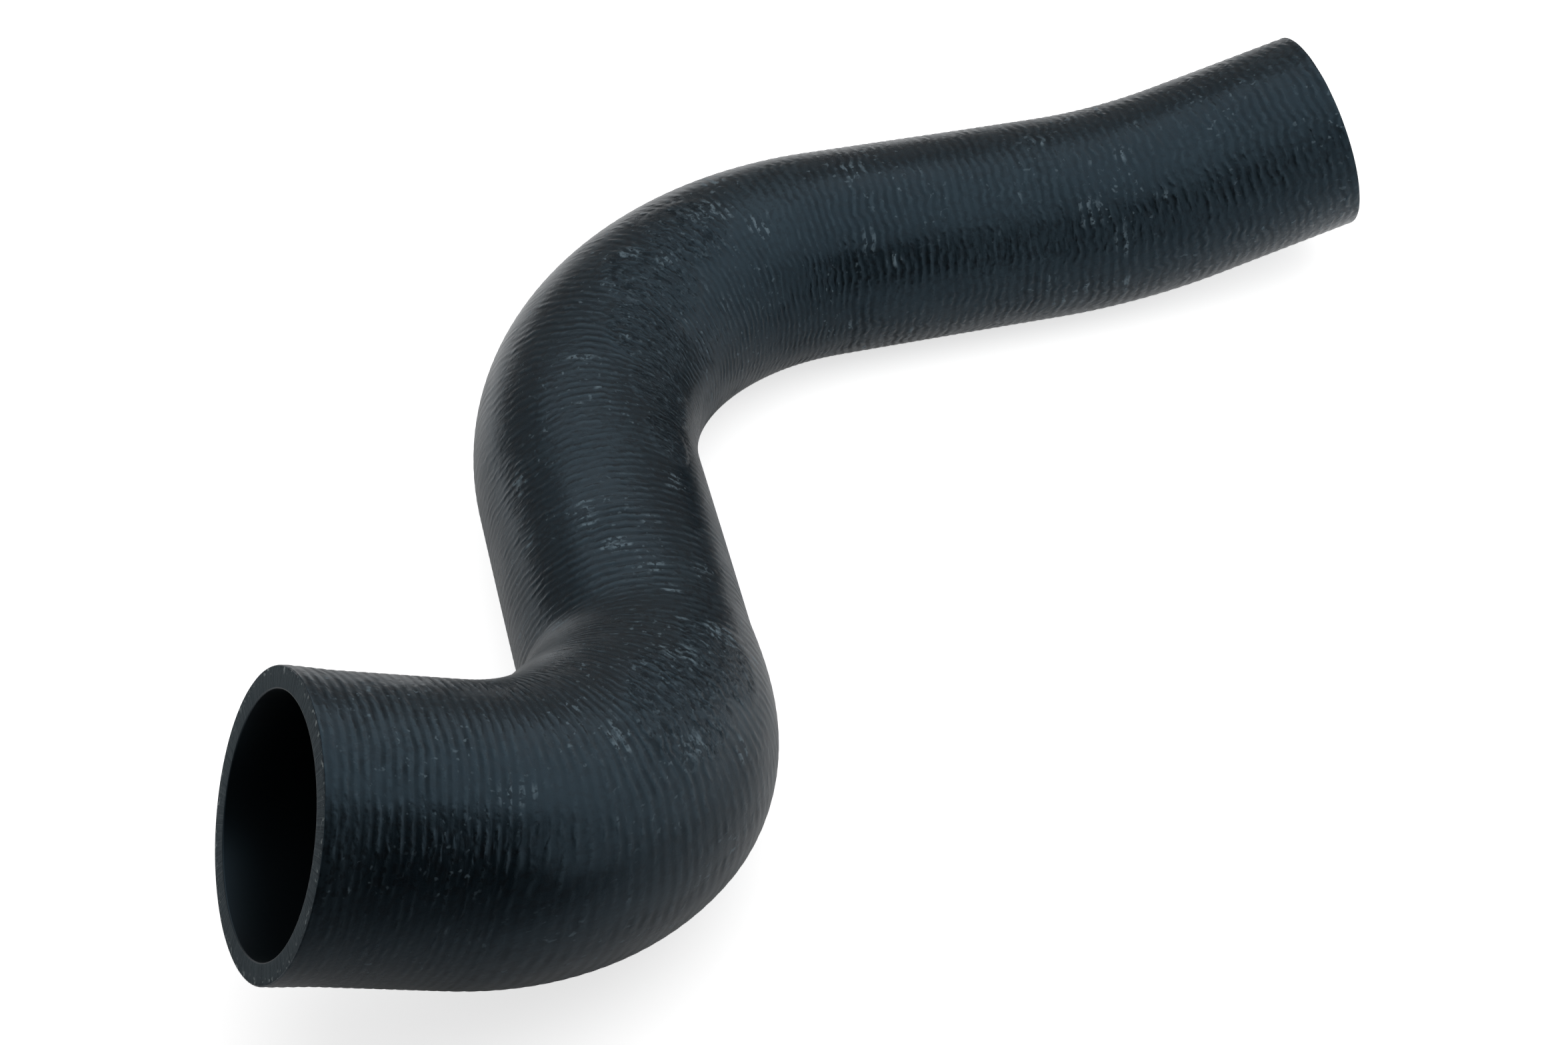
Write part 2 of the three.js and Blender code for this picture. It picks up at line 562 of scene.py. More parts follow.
@dataclass
class HoseBody:
    """The moulded hose: its surface as one closed grid, with what its material reads.

    The grid has its columns round the hose, and its rows along the skin, over each rounded lip and cut
    face, and back along the bore.
    """

    section: Section = field(default_factory=Section)
    relief: RingRelief = field(default_factory=RingRelief)
    wear: Wear = field(default_factory=Wear)
    columns: int = 96
    rows_per_ring: int = 5
    bore_step: float = 0.011
    lip: float = 0.0004
    lip_rows: int = 3
    face_rows: int = 4
    sharp_angle: float = 55.0
    near_zero: float = 1e-9

    def __post_init__(self) -> None:
        """Works out the route that the hose is set along."""
        self.route = Route(self.section)

    def profile(self) -> Profile:
        """Rows of the closed section, from the mouth's lip along the skin and back along the bore.

        Each lip is a quarter circle of the lip radius, between the skin or the bore and the cut face.

        Returns:
            The rows, in order.
        """
        length, lip, wall = self.route.length, self.lip, self.section.wall
        count = round(length / self.relief.pitch * self.rows_per_ring)
        skin = np.linspace(lip, length - lip, count)
        turn = np.linspace(0.0, math.pi / 2, self.lip_rows + 1)
        over, under = lip * np.sin(turn), lip * (1.0 - np.cos(turn))
        face = np.linspace(lip, wall - lip, self.face_rows)
        bore = np.linspace(length - lip, lip, round(length / self.bore_step))
        far = length - lip
        parts = [
            (skin, np.zeros(count), 1.0),
            (far + over[1:], under[1:], 1.0),
            (np.full(self.face_rows - 1, length), face[1:], 0.0),
            (far + over[::-1][1:], wall - under[::-1][1:], 0.0),
            (bore[1:], np.full(len(bore) - 1, wall), 0.0),
            (lip - over[1:], wall - under[1:], 0.0),
            (np.zeros(self.face_rows - 1), face[::-1][1:], 0.0),
            (lip - over[::-1][1:-1], under[::-1][1:-1], 1.0),
        ]
        distance = np.concatenate([part[0] for part in parts])
        depth = np.concatenate([part[1] for part in parts]) / wall
        ribbed = np.concatenate([np.full(len(part[0]), part[2]) for part in parts])
        on_face = (distance < self.near_zero) | (distance > length - self.near_zero)
        flat = on_face & np.roll(on_face, -1)
        inside = (depth + np.roll(depth, -1)) / 2 > 0.5
        zone = np.where(flat, Zone.CUT.value, np.where(inside, Zone.BORE.value, Zone.SKIN.value))
        return Profile(distance, depth, ribbed, zone)

    def surface(self, rows: Profile) -> dict[str, np.ndarray]:
        """Points of the grid, and what the materials read at each of them.

        A point lies on its ring's plane: the centre plus its radius times cos a along the level
        direction and sin a along the direction that leans up. The radius is the crest's, less the
        depth in the wall, less the rings' own sink.

        Args:
            rows: Rows of the closed section.

        Returns:
            Arrays named after the mesh attributes that hold them, with a row and a column each.
        """
        angle = np.linspace(0.0, math.tau, self.columns, endpoint=False)[None, :]
        distance = rows.distance[:, None]
        centre, tangent, bend = self.route.sample(rows.distance)
        level = unit(np.cross([0.0, 0.0, 1.0], tangent))
        leaning = np.cross(level, tangent)
        leaning = np.where(leaning[:, 2:] < 0, -leaning, leaning)
        across = level[:, None] * np.cos(angle)[..., None] + leaning[:, None] * np.sin(angle)[..., None]
        crest = self.section.outer_radius(rows.distance, self.route.length)[:, None]
        stretched = 1.0 - crest * np.einsum("rd,rcd->rc", bend, across)
        where = (distance, angle, crest)
        turns = self.relief.turns(distance, angle)
        strength = self.relief.strength(distance, angle, stretched)
        torn = smoothstep(self.wear.cover(self.wear.torn, *where), 0.0, self.wear.torn_full)
        kept = 1.0 - self.relief.torn_loss * torn
        sink = self.relief.sink(turns, strength) * kept * rows.ribbed[:, None]
        radius = crest - rows.depth[:, None] * self.section.wall - sink
        straight = np.broadcast_arrays(radius * np.cos(angle), radius * np.sin(angle), distance)
        return {
            "position": centre[:, None] + radius[..., None] * across,
            "straight": np.stack(straight, -1),
            "turns": turns,
            "strength": strength,
            "stretched": stretched,
            "wall_depth": np.broadcast_to(rows.depth[:, None], turns.shape),
            "rubbed": self.wear.cover([*self.wear.rubbed, *self.wear.scattered()], *where),
            "torn": torn,
        }

    def placed(self, points: np.ndarray) -> np.ndarray:
        """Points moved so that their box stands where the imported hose's box stands.

        Args:
            points: Points of the surface along the route.

        Returns:
            The points in the part's own frame.
        """
        low, high = (np.array(corner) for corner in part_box(NODE))
        flat = points.reshape(-1, 3)
        own_low, own_high = flat.min(axis=0), flat.max(axis=0)
        move = (low + high) / 2 - (own_low + own_high) / 2
        move[2] = low[2] - own_low[2]
        return points + move

    def faces(self, rows: int) -> np.ndarray:
        """Quads of a grid that closes on itself both round the hose and along its section.

        Args:
            rows: Number of rows.

        Returns:
            Four vertex numbers for each quad, row by row.
        """
        number = np.arange(rows * self.columns).reshape(rows, self.columns)
        ahead = np.roll(number, -1, axis=0)
        beside = np.roll(number, -1, axis=1)
        corner = np.roll(ahead, -1, axis=1)
        return np.stack([number, beside, corner, ahead], axis=-1).reshape(-1, 4)

    def build(self, material: bpy.types.Material) -> bpy.types.Object:
        """Makes the hose's mesh with its attributes and its material.

        Args:
            material: The rubber, with all its finishes.

        Returns:
            The hose object, at the origin.
        """
        rows = self.profile()
        grid = self.surface(rows)
        points = self.placed(grid["position"]).reshape(-1, 3)
        quads = self.faces(len(rows.distance))
        mesh = bpy.data.meshes.new("hose_body")
        mesh.from_pydata(points.tolist(), [], quads.tolist())
        for name in ("turns", "strength", "stretched", "wall_depth", "rubbed", "torn"):
            layer = mesh.attributes.new(name, "FLOAT", "POINT")
            layer.data.foreach_set("value", np.ascontiguousarray(grid[name], dtype=np.float32).ravel())
        layer = mesh.attributes.new("straight", "FLOAT_VECTOR", "POINT")
        layer.data.foreach_set("vector", grid["straight"].astype(np.float32).ravel())
        cut = mesh.attributes.new("cut_face", "FLOAT", "FACE")
        on_cut = np.repeat(rows.zone == Zone.CUT.value, self.columns)
        cut.data.foreach_set("value", on_cut.astype(np.float32))
        mesh.materials.append(material)
        mesh.shade_smooth()
        mesh.set_sharp_from_angle(angle=math.radians(self.sharp_angle))
        mesh.update()
        return linked("hose_body", mesh)


@dataclass(frozen=True)
class Grain:
    """A noise over the surface, and the soft step that makes a mask of it.

    Attributes:
        scale: Cells to a metre.
        detail: How many finer layers are added.
        roughness: How strong the finer layers are.
        squeeze: Factor on distances along the hose, which makes the marks shorter that way.
        mask: Noise at which the mask starts, and at which it is full.
    """

    scale: float
    detail: float = 2.0
    roughness: float = 0.5
    squeeze: float = 1.0
    mask: Span = (0.0, 1.0)


class Wire:
    """A value in a material's node tree that adds Math nodes when it is used in an expression."""

    def __init__(self, shade: "Shade", socket: bpy.types.NodeSocket) -> None:
        """Wraps an output socket.

        Args:
            shade: The node tree's builder.
            socket: The socket that gives the value.
        """
        self.shade = shade
        self.socket = socket

    def math(self, operation: str, *others: "Wire | float") -> "Wire":
        """A Math node's result, with this value as its first operand."""
        return self.shade.math(operation, self, *others)

    def __add__(self, other: "Wire | float") -> "Wire":
        """This value plus another."""
        return self.math("ADD", other)

    def __sub__(self, other: "Wire | float") -> "Wire":
        """This value less another."""
        return self.math("SUBTRACT", other)

    def __mul__(self, other: "Wire | float") -> "Wire":
        """This value times another."""
        return self.math("MULTIPLY", other)

    def __pow__(self, other: "Wire | float") -> "Wire":
        """This value to a power."""
        return self.math("POWER", other)

    def __radd__(self, other: float) -> "Wire":
        """A number plus this value."""
        return self.shade.math("ADD", other, self)

    def __rsub__(self, other: float) -> "Wire":
        """A number less this value."""
        return self.shade.math("SUBTRACT", other, self)

    def __rmul__(self, other: float) -> "Wire":
        """A number times this value."""
        return self.shade.math("MULTIPLY", other, self)

    def __rpow__(self, other: float) -> "Wire":
        """A number to the power of this value."""
        return self.shade.math("POWER", other, self)

    def most(self, other: "Wire | float") -> "Wire":
        """The greater of this value and another."""
        return self.math("MAXIMUM", other)

    def span(self, low: float, high: float) -> "Wire":
        """The value that lies this far from low, at 0, to high, at 1."""
        return self * (high - low) + low

    def step(self, low: float, high: float) -> "Wire":
        """A soft step from 0 to 1 as this value goes from low to high.

        Args:
            low: Where the step starts.
            high: Where the step ends, which may be below low for a step down.

        Returns:
            The stepped value.
        """
        down = high < low
        settings = {"interpolation_type": "SMOOTHSTEP"}
        ends = {"From Min": min(low, high), "From Max": max(low, high)}
        outs = {"To Min": float(down), "To Max": float(not down)}
        return self.shade.value("ShaderNodeMapRange", settings, {"Value": self, **ends, **outs})


class Shade:
    """One node tree, of a material or of the world, with a single method that adds any node."""

    def __init__(self, block: bpy.types.Material | bpy.types.World) -> None:
        """Starts an empty tree.

        Args:
            block: The material or world that the tree belongs to.
        """
        block.use_nodes = True
        self.tree = block.node_tree
        self.tree.nodes.clear()

    def node(self, kind: str, settings: dict | None = None, inputs: dict | None = None) -> bpy.types.Node:
        """Adds a node.

        Args:
            kind: The node's type.
            settings: Its own settings, which are set first.
            inputs: Values, wires or sockets, by the name or number of the input.

        Returns:
            The node.
        """
        node = self.tree.nodes.new(kind)
        for key, value in (settings or {}).items():
            setattr(node, key, value)
        for key, value in (inputs or {}).items():
            socket = self.find(node.inputs, key)
            if isinstance(value, Wire):
                self.tree.links.new(value.socket, socket)
            else:
                socket.default_value = value
        return node

    @staticmethod
    def find(sockets: bpy.types.bpy_prop_collection, key: str | int | None) -> bpy.types.NodeSocket:
        """The socket with a number, or the first one in use that has the name.

        Args:
            sockets: A node's inputs or outputs.
            key: The number or the name, or none where any name will do.

        Returns:
            The socket.
        """
        if isinstance(key, int):
            return sockets[key]
        return next(socket for socket in sockets if socket.enabled and key in (None, socket.name))

    def value(
        self, kind: str, settings: dict | None = None, inputs: dict | None = None, output: str | None = None
    ) -> Wire:
        """Adds a node and wraps one of its outputs.

        Args:
            kind: The node's type.
            settings: Its own settings.
            inputs: Values or wires, by the name or number of the input.
            output: The output's name, or none for the first one in use.

        Returns:
            The output's value.
        """
        outputs = self.node(kind, settings, inputs).outputs
        return Wire(self, self.find(outputs, output))

    def math(self, operation: str, *operands: Wire | float) -> Wire:
        """A Math node's result, from its operands in order."""
        return self.value("ShaderNodeMath", {"operation": operation}, dict(enumerate(operands)))

    def attribute(self, name: str, output: str = "Fac") -> Wire:
        """An attribute of the mesh: Fac gives it as a number, and Vector as a vector."""
        return self.value("ShaderNodeAttribute", {"attribute_name": name}, output=output)

    def place(self, kind: str) -> Wire:
        """Texture coordinates of a kind: Object on a piece, and Generated for the world's directions."""
        return self.value("ShaderNodeTexCoord", output=kind)

    def part(self, vector: Wire, axis: str) -> Wire:
        """A vector's part along an axis."""
        return self.value("ShaderNodeSeparateXYZ", None, {0: vector}, axis)

    def ray(self, kind: str) -> Wire:
        """1 for rays of a kind (Camera, Glossy or Transmission) and 0 for others."""
        return self.value("ShaderNodeLightPath", output=f"Is {kind} Ray")

    def scaled(self, vector: Wire, factors: Point) -> Wire:
        """A vector with each of its parts times a factor."""
        return self.value("ShaderNodeVectorMath", {"operation": "MULTIPLY"}, {0: vector, 1: factors})

    def noise(self, vector: Wire, grain: Grain) -> Wire:
        """Smooth noise about 0.5.

        Args:
            vector: Where it is read.
            grain: Its scale and layers.

        Returns:
            The noise.
        """
        if grain.squeeze != 1.0:
            vector = self.scaled(vector, (1.0, 1.0, grain.squeeze))
        layers = {"Scale": grain.scale, "Detail": grain.detail, "Roughness": grain.roughness}
        return self.value("ShaderNodeTexNoise", None, {"Vector": vector, **layers})

    def blend(self, factor: Wire, first: Wire | Colour, second: Wire | Colour) -> Wire:
        """A mix of two colours.

        Args:
            factor: The second colour's share.
            first: The colour where that is 0.
            second: The colour where it is 1.

        Returns:
            The mixed colour.
        """
        ends = [(*end, 1.0) if isinstance(end, tuple) else end for end in (first, second)]
        inputs = {"Factor": factor, "A": ends[0], "B": ends[1]}
        return self.value("ShaderNodeMix", {"data_type": "RGBA"}, inputs)


class Reading:
    """What the hose's material reads at each point of its surface."""

    def __init__(self, shade: Shade, bore_from: float, bore_to: float) -> None:
        """Adds the nodes that read the mesh's attributes.

        Args:
            shade: The material's node tree.
            bore_from: Depth in the wall at which the bore's finish starts.
            bore_to: Depth at which it is full.
        """
        self.shade = shade
        self.straight = shade.attribute("straight", "Vector")
        self.along = shade.part(self.straight, "Z")
        self.up = shade.part(self.straight, "Y")
        self.turns = shade.attribute("turns")
        self.strength = shade.attribute("strength")
        self.stretched = shade.attribute("stretched")
        self.depth = shade.attribute("wall_depth")
        self.rubbed = shade.attribute("rubbed")
        self.torn = shade.attribute("torn")
        self.cut = shade.attribute("cut_face")
        self.bore = self.depth.step(bore_from, bore_to) * (1.0 - self.cut)
        self.outside = (1.0 - self.bore) * (1.0 - self.cut)

    def noise(self, grain: Grain, place: Wire | None = None) -> Wire:
        """A grain's noise, read on the straightened hose or at a place of its own."""
        return self.shade.noise(place or self.straight, grain)

    def mask(self, grain: Grain, place: Wire | None = None) -> Wire:
        """The soft step of a grain's noise."""
        return self.noise(grain, place).step(*grain.mask)


@dataclass(frozen=True)
class RingPlace:
    """A stretch of the hose whose rings are stronger or weaker than elsewhere.

    Attributes:
        begins: Distances from the mouth between which the change sets in.
        below: What the change adds, as a share of the strength, at the lower of its heights.
        above: What it adds at the upper one.
        heights: The two heights over the middle line, or none where the lower share holds all round.
        ends: Distances between which the change ends, or none where it runs on.
    """

    begins: Span
    below: float
    above: float = 0.0
    heights: Span | None = None
    ends: Span | None = None

    def gain(self, at: Reading) -> Wire:
        """Factor on the strength: 1 plus the stretch's mask times the share at each height.

        Args:
            at: What is read at each point.

        Returns:
            The factor.
        """
        mask = at.along.step(*self.begins)
        if self.ends:
            mask = mask * at.along.step(*self.ends)
        share = at.up.step(*self.heights).span(self.below, self.above) if self.heights else self.below
        return mask * share + 1.0


@dataclass(frozen=True)
class TornFinish:
    """The torn bands of the bends, where the wrapping has broken the rings into crumbs and pits.

    Attributes:
        edge: Noise that frays the bands' edges.
        edge_base: What is added to that noise.
        torn: Frayed levels between which the skin turns from whole to torn.
        flakes: Crumb levels between which a crumb shows as a pale flake.
        pitted: Torn levels between which the pits set in.
        pit_share: How dull a pit is.
    """

    edge: Grain = Grain(75.0, 2.0, 0.6)
    edge_base: float = 0.5
    torn: Span = (0.25, 0.85)
    crumbs: Grain = Grain(420.0, 2.0, 0.6, squeeze=1.3)
    flakes: Span = (0.56, 0.72)
    flake_share: float = 0.22
    pits: Grain = Grain(270.0, 3.0, 0.7, squeeze=1.8, mask=(0.49, 0.37))
    pitted: Span = (0.3, 1.0)
    pit_share: float = 0.58
    crumb_height: float = 0.00022
    pit_height: float = 0.00030

    def level(self, at: Reading) -> Wire:
        """How torn the skin is: the bands' level times their fraying, as a soft step."""
        return (at.torn * (at.noise(self.edge) + self.edge_base)).step(*self.torn)

    def look(self, at: Reading, torn: Wire) -> tuple[Wire, Wire, Wire]:
        """Flakes, pits and relief of the torn skin.

        Args:
            at: What is read at each point.
            torn: How torn the skin is.

        Returns:
            How pale the flakes are, how dull the pits are, and the height that both add.
        """
        crumb, pit = at.noise(self.crumbs), at.noise(self.pits)
        flakes = torn * crumb.step(*self.flakes) * self.flake_share
        pits = torn.step(*self.pitted) * pit.step(*self.pits.mask) * self.pit_share
        height = (crumb * self.crumb_height + pit * self.pit_height) * torn * at.outside
        return flakes, pits, height


@dataclass(frozen=True)
class Drawn:
    """The rings as the material draws them.

    Attributes:
        crest: 1 on a drawn crest and 0 in its groove.
        dash: 1 where a crest's dashes lie.
        hollow: How dull the grooves are.
        height: What the drawn rings add to the modelled ones.
    """

    crest: Wire
    dash: Wire
    hollow: Wire
    height: Wire


@dataclass(frozen=True)
class RingFinish:
    """The rings' fine form: they zigzag, break into dashes, fade in places and have dull grooves.

    Attributes:
        depth: Height of a full crest.
        zigzag: How far the ring count wanders, in rings.
        calm: Share of the zigzag at the mouth.
        restless: Distances from the mouth between which the zigzag grows to full.
        swirl: How far the count wanders where the skin is torn, in rings.
        wander: Noise of the zigzag.
        swirls: Noise of the torn skin's wander.
        gaps: Pattern of the gaps between longer pieces of a ring.
        dash_share: Share of the dashes in how a ring breaks. The gaps have the rest.
        faded_least: Least share of a groove where the grooves fade.
        broken_least: Least share of a groove where its ring is broken.
        groove: Parts of the way from crest to groove between which a groove turns dull.
        groove_share: How dull a full groove is.
        crest_places: Where the crests are higher or lower.
        groove_places: Where the grooves are duller or less dull.
    """

    depth: float = 0.00024
    zigzag: float = 0.80
    calm: float = 0.30
    restless: Span = (0.06, 0.40)
    swirl: float = 3.2
    wander: Grain = Grain(270.0, 1.0, squeeze=0.30)
    swirls: Grain = Grain(150.0, 2.0, 0.6)
    dashes: Grain = Grain(165.0, 1.0, squeeze=2.4, mask=(0.44, 0.64))
    gaps: Grain = Grain(105.0, 3.0, 0.6, mask=(0.34, 0.60))
    dash_share: float = 0.40
    fading: Grain = Grain(21.0, mask=(0.36, 0.60))
    faded_least: float = 0.35
    broken_least: float = 0.3
    groove: Span = (0.15, 0.95)
    groove_share: float = 0.46
    crest_places: tuple[RingPlace, ...] = (
        RingPlace((0.12, 0.16), -0.26, ends=(0.49, 0.44)),
        RingPlace((0.12, 0.08), -0.48, heights=(0.014, 0.026)),
        RingPlace((0.24, 0.32), 0.6, heights=(0.010, 0.018), ends=(0.47, 0.43)),
    )
    groove_places: tuple[RingPlace, ...] = (
        RingPlace((0.10, 0.28), -0.12),
        RingPlace((0.16, 0.08), -0.35, above=0.35, heights=(-0.01, 0.03)),
        RingPlace((0.24, 0.34), 0.7, heights=(0.008, 0.018), ends=(0.50, 0.43)),
    )

    def crests(self, turns: Wire) -> Wire:
        """1 on a ring's crest and 0 in its groove: half plus half the cosine of the ring count."""
        return (turns * math.tau).math("COSINE") * 0.5 + 0.5

    def draw(self, at: Reading, torn: Wire, relief: RingRelief) -> Drawn:
        """Draws the rings from the ring count, moved by the zigzag and by the torn skin's swirls.

        The height is that of the drawn rings less that of the modelled ones, each as a power of the
        crests, so that the bump and the mesh together give the drawn rings.

        Args:
            at: What is read at each point.
            torn: How torn the skin is.
            relief: The modelled rings.

        Returns:
            The drawn rings.
        """
        restless = at.along.step(*self.restless).span(self.calm, 1.0)
        wander = (at.noise(self.wander) - 0.5) * restless * self.zigzag
        swirl = (at.noise(self.swirls) - 0.5) * torn * self.swirl
        crest = self.crests(at.turns + wander + swirl)
        dash = at.mask(self.dashes)
        broken = at.mask(self.gaps) * (1.0 - self.dash_share) + dash * self.dash_share
        hollow = (1.0 - crest).step(*self.groove) * at.strength * self.groove_share
        hollow = hollow * at.mask(self.fading).span(self.faded_least, 1.0)
        hollow = hollow * broken.span(self.broken_least, 1.0)
        drawn = crest**relief.sharpness * broken * self.depth
        for place in self.groove_places:
            hollow = hollow * place.gain(at)
        for place in self.crest_places:
            drawn = drawn * place.gain(at)
        plain = self.crests(at.turns) ** relief.sharpness * (1.0 - at.torn * relief.torn_loss)
        return Drawn(crest, dash, hollow, (drawn - plain * relief.depth) * at.strength * at.outside)


@dataclass(frozen=True)
class ScuffFinish:
    """Pale scuffs in streaks along the crests, and pale crumbs where the hose was handled.

    Attributes:
        streak_least: Least share of a scuff between its streaks.
        fray: Noise that frays the rubbed places.
        fray_base: What is added to that noise.
        worn: Frayed levels between which a scuff sets in.
        crest: Parts of the way from groove to crest between which it does.
        merging: Rubbed levels between which scuffs reach into the grooves.
        merged_share: How strong they are there.
        share: How pale a full scuff is.
        handled: Pattern of the handled places.
    """

    streaks: Grain = Grain(330.0, 3.0, 0.65, squeeze=2.0, mask=(0.36, 0.60))
    streak_least: float = 0.15
    fray: Grain = Grain(300.0, 2.0, 0.6)
    fray_base: float = 0.6
    worn: Span = (0.12, 0.52)
    crest: Span = (0.35, 0.90)
    merging: Span = (0.55, 0.85)
    merged_share: float = 0.7
    share: float = 0.66
    crumbs: Grain = Grain(560.0, 1.0, mask=(0.64, 0.76))
    handled: Grain = Grain(40.0, mask=(0.42, 0.62))
    crumb_share: float = 0.42

    def pale(self, at: Reading, crest: Wire) -> Wire:
        """How pale the scuffs and crumbs are.

        Args:
            at: What is read at each point.
            crest: The drawn crests.

        Returns:
            Levels from 0 to 1.
        """
        worn = (at.rubbed * (at.noise(self.fray) + self.fray_base)).step(*self.worn)
        merged = at.rubbed.step(*self.merging) * self.merged_share
        over = (crest.step(*self.crest) + merged).math("MINIMUM", 1.0)
        scuff = worn * over * at.mask(self.streaks).span(self.streak_least, 1.0)
        crumbs = at.mask(self.crumbs) * at.mask(self.handled)
        return (scuff * self.share).most(crumbs * self.crumb_share)


@dataclass(frozen=True)
class SkinFinish:
    """The ringed outside: near black rubber with a sheen, pale scuffs, dust, and a painted sheen inside the
    bends.

    Attributes:
        roughness: Roughness of clean rubber. Dust, scuffs and torn skin add theirs.
        drawn: Stretch of the skin between which the insides of the bends turn paler, a painted sheen.
        dash_crest: Parts of the way from groove to crest between which a dash is dusty.
        dash_share: How dusty it is.
    """

    colour: Colour = (0.0036, 0.0066, 0.0090)
    groove: Colour = (0.0018, 0.0032, 0.0046)
    # Pale colour of the dust, and of the painted sheen inside the bends.
    dust_and_sheen: Colour = (0.0120, 0.0192, 0.0240)
    scuff: Colour = (0.1350, 0.1800, 0.2080)
    roughness: float = 0.27
    dust_roughness: float = 0.15
    scuff_roughness: float = 0.30
    torn_roughness: float = 0.10
    dust: Grain = Grain(26.0, 3.0, 0.55, mask=(0.42, 0.70))
    dust_share: float = 0.6
    # The painted sheen inside the bends: where it sets in, and how pale it is.
    drawn: Span = (0.75, 0.50)
    bend_sheen_share: float = 0.6
    dash_crest: Span = (0.5, 1.0)
    dash_share: float = 0.9

    def dress(self, at: Reading, rings: Drawn, torn: Wire, pale: Wire, hollow: Wire) -> tuple[Wire, Wire]:
        """Lays dust and a painted sheen on the rubber, then darkens the grooves, then lays the pale marks
        on top.

        Args:
            at: What is read at each point.
            rings: The drawn rings.
            torn: How torn the skin is.
            pale: How pale its scuffs, crumbs and flakes are.
            hollow: How dull its grooves and pits are.

        Returns:
            Colour and roughness.
        """
        shade = at.shade
        dust = at.mask(self.dust) * self.dust_share
        # Painted sheen: the insides of the bends are painted paler, along with the dust and the dusty
        # dashes.
        dust_and_sheen = dust.most(at.stretched.step(*self.drawn) * self.bend_sheen_share)
        dust_and_sheen = dust_and_sheen.most(rings.dash * rings.crest.step(*self.dash_crest) * self.dash_share)
        colour = shade.blend(dust_and_sheen, self.colour, self.dust_and_sheen)
        colour = shade.blend(hollow, colour, self.groove)
        added = dust * self.dust_roughness + pale * self.scuff_roughness + torn * self.torn_roughness
        return shade.blend(pale, colour, self.scuff), added + self.roughness


@dataclass(frozen=True)
class BoreFinish:
    """The smooth bore, which came off a polished core. Its colour is darker than the skin's rubber: painted
    shade inside the bore.
    """

    # Darker than the skin's rubber: painted shade inside the bore.
    colour: Colour = (0.0020, 0.0027, 0.0032)
    roughness: float = 0.40
    depth_from: float = 0.45
    depth_to: float = 0.55


@dataclass(frozen=True)
class CutFinish:
    """The cut faces: paler, dull rubber with knife marks, chips and specks near the outside.

    Attributes:
        marks: Pattern of the dark knife marks, which run from the bore outwards.
        scores: Pattern of the pale ones.
        specks: Pattern of the pale specks.
        speck_depth: Depths in the wall between which the specks grow to full.
        ragged: Pattern of the chips, which also roughens the face.
        chip_depth: Depths in the wall between which the chips grow to full.
    """

    colour: Colour = (0.0270, 0.0370, 0.0410)
    mark: Colour = (0.0110, 0.0165, 0.0200)
    score: Colour = (0.0560, 0.0680, 0.0720)
    speck: Colour = (0.2600, 0.2900, 0.2900)
    chip: Colour = (0.0030, 0.0040, 0.0050)
    roughness: float = 0.70
    marks: Grain = Grain(40.0, 3.0, 0.75, mask=(0.48, 0.60))
    scores: Grain = Grain(85.0, 2.0, 0.6, mask=(0.54, 0.64))
    specks: Grain = Grain(620.0, 1.0, mask=(0.58, 0.66))
    speck_depth: Span = (0.50, 0.08)
    ragged: Grain = Grain(460.0, 2.0, 0.65, mask=(0.50, 0.58))
    chip_depth: Span = (0.22, 0.05)
    mark_share: float = 0.85
    score_share: float = 0.75
    speck_share: float = 0.85
    mark_height: float = 0.00030
    ragged_height: float = 0.00025

    def dress(self, at: Reading) -> tuple[Wire, Wire, Wire]:
        """Lays marks, scores and specks on the face. The marks are read by the direction round the hose.

        Args:
            at: What is read at each point.

        Returns:
            Colour, how much each point belongs to a chip, and the height of the marks.
        """
        shade = at.shade
        flat = shade.scaled(at.straight, (1.0, 1.0, 0.0))
        round_about = shade.value("ShaderNodeVectorMath", {"operation": "NORMALIZE"}, {0: flat})
        marks, ragged = at.noise(self.marks, round_about), at.noise(self.ragged)
        specks = at.mask(self.specks) * at.depth.step(*self.speck_depth)
        chips = ragged.step(*self.ragged.mask) * at.depth.step(*self.chip_depth)
        colour = shade.blend(marks.step(*self.marks.mask) * self.mark_share, self.colour, self.mark)
        colour = shade.blend(at.mask(self.scores, round_about) * self.score_share, colour, self.score)
        colour = shade.blend(specks * self.speck_share, colour, self.speck)
        height = (marks - 0.5) * self.mark_height * at.cut + (ragged - 0.5) * self.ragged_height * at.cut
        return colour, chips, height


